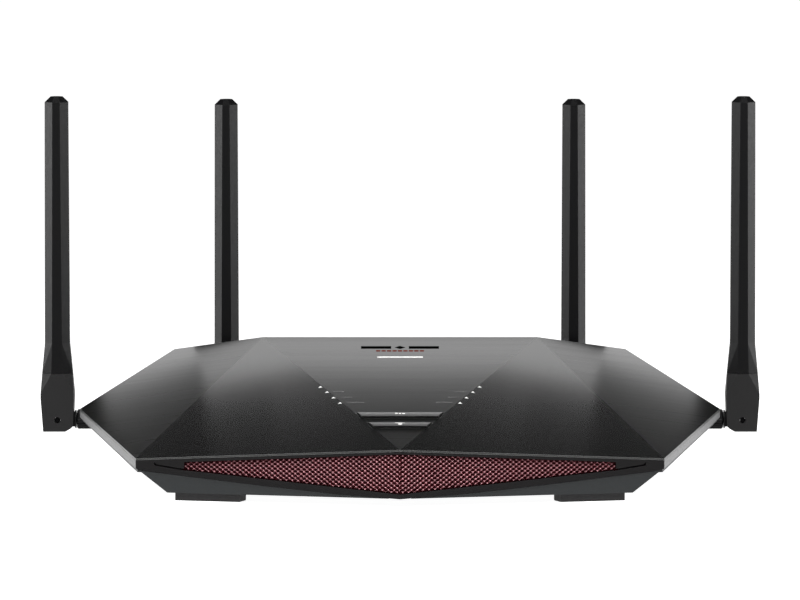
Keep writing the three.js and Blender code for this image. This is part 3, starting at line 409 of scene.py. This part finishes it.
MATERIALS = {
    "cover": brushed_cover(),
    "housing": moulded("housing_grain", (0.008, 0.010, 0.0108), 0.5, specular=0.4),
    # The fascia's edges are painted several times lighter: a painted highlight line.
    "fascia": moulded("fascia_satin", (0.004, 0.0035, 0.0037), 0.42, edge_wear_and_sheen=6, specular=0.16),
    "trim": dotted_trim(),
    "grille": grille_paint("grille_paint", (0.108, 0.0104, 0.0172)),
    # Lighter pink for the strand crossings: a painted glint, a painted highlight.
    "grille_painted_glint": grille_paint("grille_painted_glint", (0.38, 0.17, 0.19)),
    # Dark sheet behind the grille's holes: painted shade standing in for the dark inside.
    "grille_shade_sheet": moulded("shade_sheet_black", (0.016, 0.0006, 0.0016), 0.9, specular=0.1, edge_wear_and_sheen=1),
    "antenna": moulded("antenna_grain", (0.0032, 0.0032, 0.0035), 0.45, grain=3200, edge_wear_and_sheen=2.5, specular=0.1),
    "antenna_base": moulded("antenna_base_grain", (0.010, 0.0098, 0.010), 0.5, grain=3200, specular=0.2),
    "button": key_top(),
    "light": diffuser("light_guide", (0.85, 0.85, 0.83), 0.2),
    "board": solder_mask(),
    "steel": metal("plated_steel", (0.55, 0.55, 0.56), 0.35),
    "dark_steel": metal("black_steel", (0.006, 0.006, 0.0065), 0.6),
    "aluminium": metal("extruded_aluminium", (0.62, 0.63, 0.64), 0.4, stretch=(4, 0.15, 4)),
    "brass": metal("gold_brass", (0.62, 0.43, 0.16), 0.3),
    "socket": moulded("socket_black", (0.008, 0.008, 0.009), 0.45, grain=3000),
    "wan_socket": moulded("socket_ochre", (0.42, 0.25, 0.02), 0.45, grain=3000, edge_wear_and_sheen=1.2),
    "rubber": moulded("foot_rubber", (0.012, 0.0115, 0.012), 0.75, grain=1800, depth=0.05 * MM, edge_wear_and_sheen=1.3),
    "lead": moulded("lead_jacket", (0.02, 0.02, 0.022), 0.5, grain=4000),
    "ink_white": printed("ink_white", (0.7, 0.7, 0.68), glow=0.25),
    "ink_grey": printed("ink_grey", (0.17, 0.17, 0.17)),
    "ink_black": printed("ink_black", (0.002, 0.002, 0.002)),
    "ink_red": printed("ink_red", (0.13, 0.03, 0.022)),
}


def dress_cad_nodes():
    """Every CAD node gets its slot's material; the antennas' bases have a finish of their own."""
    for row in frame["record"]["subparts"]:
        node = NODES[row["node"]]
        look = "antenna_base" if row["node"].endswith("_base") else row["material_slot"]
        node.data.materials.clear()
        node.data.materials.append(MATERIALS[look])


# ---------------------------------------------------------------- mesh helpers


def make_piece(name, mesh_data, material, body, replaces=()):
    """Turns a bmesh into a finished piece that rides on a body."""
    mesh = bpy.data.meshes.new(name)
    mesh_data.to_mesh(mesh)
    mesh_data.free()
    piece = bpy.data.objects.new(name, mesh)
    bpy.context.scene.collection.objects.link(piece)
    piece.data.materials.append(MATERIALS[material])
    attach(piece, body)
    if replaces:
        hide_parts(*replaces)
    return piece


def soften(piece, width=SOFT_EDGE):
    """Rounds a piece's edges: flat regions are merged first so that the bevel runs clean."""
    merge = piece.modifiers.new("merge_flats", "DECIMATE")
    merge.decimate_type = "DISSOLVE"
    merge.angle_limit = FLAT_ANGLE
    bevel = piece.modifiers.new("soft_edge", "BEVEL")
    bevel.width = width
    bevel.segments = EDGE_SEGMENTS
    bevel.limit_method = "ANGLE"
    bevel.angle_limit = SHARP_ANGLE
    bevel.harden_normals = True
    bevel.use_clamp_overlap = True


def surface_of(node):
    """A CAD node's surface, for finding points on it."""
    mesh = bmesh.new()
    mesh.from_mesh(NODES[node].data)
    tree = BVHTree.FromBMesh(mesh)
    mesh.free()
    return tree


# ---------------------------------------------------------------- the perforated grille


def grille_cell(mesh, centre, place):
    """One diamond of sheet round a six-sided hole; its tips are where strands cross, and the faces by the
    tips take a lighter paint as a painted glint.
    """
    half = GRILLE_PITCH / 2
    hole = GRILLE_HOLE
    slope = GRILLE_KNUCKLE * GRILLE_SLOPE

    def vertex(x, z, proud=0.0):
        return mesh.verts.new(place(centre[0] + x, centre[1] + z, proud))

    for side in (1, -1):
        for up in (1, -1):
            tip_x = vertex(side * half.x, 0, GRILLE_KNUCKLE)
            tip_z = vertex(0, up * half.y, GRILLE_KNUCKLE)
            rim_x = vertex(side * hole.x, 0)
            rim_z = vertex(side * GRILLE_HOLE_FLAT, up * hole.y)
            rim_middle = vertex(0, up * hole.y)
            near_x = vertex(side * half.x * (1 - GRILLE_GLINT_SHARE), up * half.y * GRILLE_GLINT_SHARE, slope)
            near_z = vertex(side * half.x * GRILLE_GLINT_SHARE, up * half.y * (1 - GRILLE_GLINT_SHARE), slope)
            # Material 1 is the painted glint at the crossings; material 0 is the plain strand.
            loops = [
                ((tip_x, near_x, rim_x), 1),
                ((near_x, near_z, rim_z, rim_x), 0),
                ((near_z, tip_z, rim_middle, rim_z), 1),
            ]
            for loop, material in loops:
                face = mesh.faces.new(loop if side * up > 0 else loop[::-1])
                face.material_index = material


def grille_frame():
    """Where the CAD sheet's right half lies: its corners in front view, and a placing function."""
    low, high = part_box("front_grille")
    corners = [vertex.co for vertex in NODES["front_grille"].data.vertices]
    end = [corner for corner in corners if corner.x > high.x - 0.1 * MM]
    end_front = min(corner.y for corner in end)
    run = Vector((high.x, end_front - low.y, 0))
    along = run.normalized()
    outward = Vector((along.y, -along.x, 0))

    def place(s, z, proud):
        return Vector((0, low.y, z)) + along * s + outward * (proud - GRILLE_KNUCKLE)

    end_foot = min(corner.z for corner in end)
    end_head = max(corner.z for corner in end)
    return place, [(0, low.z), (run.length, end_foot), (run.length, end_head), (0, high.z)]


def grille():
    """The perforated sheet, cut to the CAD sheet's outline, and a dark sheet behind it as painted shade."""
    place, corners = grille_frame()
    (_, foot), (length, end_foot), (_, end_head), (_, head) = corners
    mesh = bmesh.new()
    rows = int((head - foot) / GRILLE_PITCH.y) + 2
    for row in range(-rows, rows + 1):
        for column in range(-1, int(length / GRILLE_PITCH.x) + 2):
            s = (column + (row % 2) / 2) * GRILLE_PITCH.x
            grille_cell(mesh, (s, (foot + head) / 2 + row * GRILLE_PITCH.y / 2), place)
    bmesh.ops.remove_doubles(mesh, verts=mesh.verts, dist=0.01 * MM)
    inset = GRILLE_INSET
    x_end = place(length - inset.x, 0, 0).x
    cuts = [
        (Vector((0, 0, 0)), Vector((-1, 0, 0))),
        (Vector((x_end, 0, 0)), Vector((1, 0, 0))),
        (Vector((0, 0, head - inset.y)), Vector((head - end_head, 0, x_end))),
        (Vector((0, 0, foot + inset.y)), Vector((end_foot - foot, 0, -x_end))),
    ]
    for point, normal in cuts:
        geometry = mesh.verts[:] + mesh.edges[:] + mesh.faces[:]
        bmesh.ops.bisect_plane(mesh, geom=geometry, plane_co=point, plane_no=normal, clear_outer=True)
    piece = make_piece("grille_mesh", mesh, "grille", "housing", ["front_grille"])
    # The second material paints a lighter glint on the crossings, a painted highlight.
    piece.data.materials.append(MATERIALS["grille_painted_glint"])
    both_halves(piece, GRILLE_SHEET)

    # Painted shade: a dark sheet that darkens the holes and hides the housing's lit inside.
    shade_sheet = bmesh.new()
    ring = [shade_sheet.verts.new(place(s, z, -GRILLE_SHEET)) for s, z in corners]
    shade_sheet.faces.new(ring)
    piece = make_piece("grille_shade_sheet", shade_sheet, "grille_shade_sheet", "housing")
    both_halves(piece, SHADE_SHEET)


def both_halves(piece, thickness):
    """Mirrors a right-hand sheet to the left and gives it its thickness, backwards."""
    mirror = piece.modifiers.new("other_half", "MIRROR")
    mirror.use_clip = True
    solidify = piece.modifiers.new("sheet", "SOLIDIFY")
    solidify.thickness = thickness
    solidify.offset = -1


# ---------------------------------------------------------------- printed marks


def rectangle(x, y, half_x, half_y):
    left, right = x - half_x, x + half_x
    front, rear = y - half_y, y + half_y
    return [(left, front), (right, front), (right, rear), (left, rear)]


def rear_of(node):
    """The y of a node's rear edge, in millimetres."""
    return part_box(node)[1].y / MM


def decal(name, outlines, material, node, body):
    """A thin printed layer on a node's upper side, from outlines in x and y in millimetres."""
    tree = surface_of(node)
    mesh = bmesh.new()
    for outline in outlines:
        mesh.faces.new([mesh.verts.new((x * MM, y * MM, 0)) for x, y in outline])
    ys = [v.co.y for v in mesh.verts]
    y = min(ys) + DECAL_STEP
    while y < max(ys):
        geometry = mesh.verts[:] + mesh.edges[:] + mesh.faces[:]
        bmesh.ops.bisect_plane(mesh, geom=geometry, plane_co=(0, y, 0), plane_no=(0, 1, 0))
        y += DECAL_STEP
    bmesh.ops.recalc_face_normals(mesh, faces=mesh.faces)
    for face in mesh.faces:
        if face.normal.z < 0:
            face.normal_flip()
    for vertex in mesh.verts:
        point, normal, _, _ = tree.ray_cast(Vector((vertex.co.x, vertex.co.y, 1)), Vector((0, 0, -1)))
        vertex.co = point + normal * DECAL_LIFT
    piece = make_piece(name, mesh, material, body)
    layer = piece.modifiers.new("layer", "SOLIDIFY")
    layer.thickness = 2 * DECAL_LIFT
    layer.offset = -1


def indicator_labels():
    """A short row of dashes beside each indicator light."""
    outlines = []
    for (x, y), (start, end) in zip(PIPS, LABEL_REACH):
        count = max(LABEL_LEAST, round((end - start) / LABEL_DASH))
        step = (end - start) / count
        for i in range(count):
            middle = x - start - step * (i + 0.5)
            outlines.append(rectangle(middle, y + LABEL_SHIFT, step * LABEL_DASH_SHARE, LABEL_HEIGHT / 2))
    mirrored = [[(-x, y) for x, y in outline][::-1] for outline in outlines]
    decal("indicator_labels", outlines + mirrored, "ink_grey", "top_cover", "housing")


def name_mark():
    """A plain mark where a name would be: two bars with a diamond between, over a row of dashes."""
    y = rear_of("top_cover") - NAME_BAR["depth"]
    outlines = [
        rectangle(side * NAME_BAR["x"], y, NAME_BAR["half_width"], NAME_BAR["half_height"])
        for side in (-1, 1)
    ]
    across = NAME_DIAMOND["half_width"]
    up = NAME_DIAMOND["half_height"]
    outlines.append([(-across, y), (0, y - up), (across, y), (0, y + up)])
    decal("name_mark", outlines, "ink_black", "top_cover", "housing")

    y = rear_of("top_cover") - UNDERLINE["depth"]
    dashes = range(-UNDERLINE["each_side"], UNDERLINE["each_side"] + 1)
    outlines = [
        rectangle(i * UNDERLINE["pitch"], y, UNDERLINE["half_width"], UNDERLINE["half_height"])
        for i in dashes
    ]
    decal("name_underline", outlines, "ink_red", "top_cover", "housing")


def button_icons():
    """Three plain bars on the rear button, and a bar over a wedge on the front one."""
    y = rear_of("wifi_button") - WIFI_BARS["depth"]
    outlines = []
    for i in (-1, 0, 1):
        half_width = WIFI_BARS["outer_half_width"] if i else WIFI_BARS["inner_half_width"]
        outlines.append(rectangle(i * WIFI_BARS["pitch"], y, half_width, WIFI_BARS["half_height"]))
    decal("wifi_icon", outlines, "ink_white", "wifi_button", "wifi_button")

    edge = rear_of("wps_button")
    shapes = [
        (WPS_BAR["half_width"], edge - WPS_BAR["rear"], WPS_BAR["half_width"], edge - WPS_BAR["front"]),
        (WPS_WEDGE["rear_half_width"], edge - WPS_WEDGE["rear"],
         WPS_WEDGE["front_half_width"], edge - WPS_WEDGE["front"]),
    ]
    outlines = [
        [(-front_half, front), (front_half, front), (rear_half, rear), (-rear_half, rear)]
        for rear_half, rear, front_half, front in shapes
    ]
    decal("wps_icon", outlines, "ink_white", "wps_button", "wps_button")


# ---------------------------------------------------------------- sockets and nuts


def strip(mesh, path, half_width, thickness):
    """A flat bent strip through the points of a path, with its width along X."""
    rings = []
    for x, y, z in path:
        rings.append([
            mesh.verts.new((x + dx * half_width, y, z + dz * thickness / 2))
            for dx, dz in ((-1, -1), (1, -1), (1, 1), (-1, 1))
        ])
    for a, b in zip(rings, rings[1:]):
        for i in range(4):
            mesh.faces.new((a[i], a[(i + 1) % 4], b[(i + 1) % 4], b[i]))
    mesh.faces.new(rings[0][::-1])
    mesh.faces.new(rings[-1])


def socket_contacts():
    """Sprung gold wires in every network socket, from its roof down towards its back."""
    mesh = bmesh.new()
    for opening in frame["record"]["physics"]["openings"]:
        (x0, y0, _), (x1, y1, roof) = opening["box_m"]
        for i in range(CONTACTS):
            x = (x0 + x1) / 2 + (i - (CONTACTS - 1) / 2) * CONTACT_PITCH
            path = [
                (x, y1 - CONTACT_ROOT, roof),
                (x, y1 - CONTACT_BEND, roof - CONTACT_BEND_DROP),
                (x, y0 + CONTACT_TIP, roof - CONTACT_TIP_DROP),
            ]
            strip(mesh, path, CONTACT_WIDTH / 2, CONTACT_THICKNESS)
    bmesh.ops.recalc_face_normals(mesh, faces=mesh.faces)
    make_piece("socket_contacts", mesh, "brass", "housing")


def usb_contacts():
    """Flat gold contacts along the underside of the USB port's tongue."""
    low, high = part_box("usb_port")
    z = (low.z + high.z) / 2 - USB_CONTACT_DROP
    mesh = bmesh.new()
    for i in range(USB_CONTACTS):
        x = (low.x + high.x) / 2 + (i - (USB_CONTACTS - 1) / 2) * USB_CONTACT_PITCH
        path = [(x, high.y - USB_CONTACT_ROOT, z), (x, high.y - USB_CONTACT_TIP, z)]
        strip(mesh, path, USB_CONTACT_WIDTH / 2, USB_CONTACT_THICKNESS)
    bmesh.ops.recalc_face_normals(mesh, faces=mesh.faces)
    make_piece("usb_contacts", mesh, "brass", "housing")


def knurled_nut(name):
    """A ridged ring that stands for a plain CAD nut, on the same axis and of the same size."""
    low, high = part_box(name)
    centre = (low + high) / 2
    size = high - low
    axis = 0 if abs(size.x - size.z) > abs(size.y - size.z) else 1
    radius = size.z / 2
    length = size[axis]
    stations = [(0, -NUT_CHAMFER), (NUT_CHAMFER, 0), (length - NUT_CHAMFER, 0), (length, -NUT_CHAMFER)]
    bore = radius - NUT_WALL
    mesh = bmesh.new()

    def ring(offset, radii):
        """Points round the axis, on its two radii by turns."""
        made = []
        for i in range(2 * NUT_RIDGES):
            turn = math.pi * i / NUT_RIDGES
            point = Vector((0, 0, 0))
            point[axis] = low[axis] + offset
            point[1 - axis] = centre[1 - axis] + radii[i % 2] * math.cos(turn)
            point[2] = centre.z + radii[i % 2] * math.sin(turn)
            made.append(mesh.verts.new(point))
        return made

    rings = [ring(0, (bore, bore))]
    for offset, growth in stations:
        crest = radius + growth
        rings.append(ring(offset, (crest, crest - NUT_RIDGE_DEPTH)))
    rings.append(ring(length, (bore, bore)))
    rings.append(rings[0])
    for a, b in zip(rings, rings[1:]):
        for i in range(len(a)):
            j = (i + 1) % len(a)
            mesh.faces.new((a[i], a[j], b[j], b[i]))
    bmesh.ops.recalc_face_normals(mesh, faces=mesh.faces)
    make_piece(name + "_knurled", mesh, "antenna", "housing", [name])


# ---------------------------------------------------------------- camera, lights and stage


def make_camera():
    """The camera stands in front, about five degrees above, aimed at the middle of the cover's depth."""
    data = bpy.data.cameras.new("camera")
    data.lens = LENS
    data.sensor_width = SENSOR
    data.clip_end = 100
    camera = bpy.data.objects.new("camera", data)
    bpy.context.scene.collection.objects.link(camera)
    low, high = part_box("top_cover")
    target = Vector((0, (low.y + high.y) / 2, CAMERA_TARGET_HEIGHT))
    back = Vector((0, -math.cos(CAMERA_PITCH), math.sin(CAMERA_PITCH)))
    camera.location = target + back * CAMERA_DISTANCE
    camera.rotation_euler = (math.pi / 2 - CAMERA_PITCH, 0, 0)
    bpy.context.scene.camera = camera


def area_light(name, location, aim, size, power):
    data = bpy.data.lights.new(name, "AREA")
    data.shape = "RECTANGLE"
    data.size, data.size_y = size
    data.energy = power
    light = bpy.data.objects.new(name, data)
    bpy.context.scene.collection.objects.link(light)
    light.location = location
    light.rotation_mode = "QUATERNION"
    light.rotation_quaternion = (Vector(aim) - Vector(location)).to_track_quat("-Z", "Y")
    light.visible_camera = False


def make_world():
    """A nearly black surround: surfaces mirror the area lights and the glowing floor instead."""
    world = bpy.data.worlds.new("studio")
    world.use_nodes = True
    level = (WORLD_LEVEL, WORLD_LEVEL, WORLD_LEVEL, 1)
    world.node_tree.nodes["Background"].inputs["Color"].default_value = level
    bpy.context.scene.world = world


def make_floor():
    """A plain pale floor that glows evenly, so that no horizon shows."""
    mesh = bmesh.new()
    bmesh.ops.create_grid(mesh, x_segments=2, y_segments=2, size=FLOOR_HALF_SIZE)
    data = bpy.data.meshes.new("floor")
    mesh.to_mesh(data)
    mesh.free()
    floor = bpy.data.objects.new("floor", data)
    bpy.context.scene.collection.objects.link(floor)
    finish = Finish("floor_panel", (0.6, 0.6, 0.6), 0.9, specular=0.1)
    finish.color(finish.mix(finish.noise(3, 2), (0.59, 0.59, 0.59), (0.61, 0.61, 0.61)))
    finish.shader.inputs["Emission Color"].default_value = (1, 1, 1, 1)
    finish.shader.inputs["Emission Strength"].default_value = FLOOR_GLOW
    floor.data.materials.append(finish.material)


def make_sky():
    """Weak, very soft light from above."""
    sun = bpy.data.lights.new("sky", "SUN")
    sun.energy = SKY_POWER
    sun.angle = SKY_SPREAD
    sky = bpy.data.objects.new("sky", sun)
    bpy.context.scene.collection.objects.link(sky)
    sky.rotation_euler = (SKY_TILT, 0, 0)


def make_studio():
    bpy.context.scene.view_settings.view_transform = "Standard"
    make_world()
    make_floor()
    make_sky()
    for light in AREA_LIGHTS:
        area_light(*light)


# ---------------------------------------------------------------- assembly


def soften_cad_nodes():
    """Rounds the edges of the CAD nodes that show."""
    for name in ("bottom_tray", "front_fascia", "right_wing_trim", "left_wing_trim", "rear_panel"):
        soften(NODES[name])
    soften(NODES["top_cover"], COVER_EDGE)
    for name in ("wifi_button", "wps_button", "power_button"):
        soften(NODES[name], KEY_EDGE)
    for row in frame["record"]["subparts"]:
        if row["material_slot"] in ("antenna", "rubber"):
            soften(NODES[row["node"]], ANTENNA_EDGE)


def knurled_nuts():
    for row in frame["record"]["subparts"]:
        if row["node"].endswith("_nut"):
            knurled_nut(row["node"])


make_camera()
make_studio()
dress_cad_nodes()
soften_cad_nodes()
knurled_nuts()
grille()
socket_contacts()
usb_contacts()
indicator_labels()
name_mark()
button_icons()
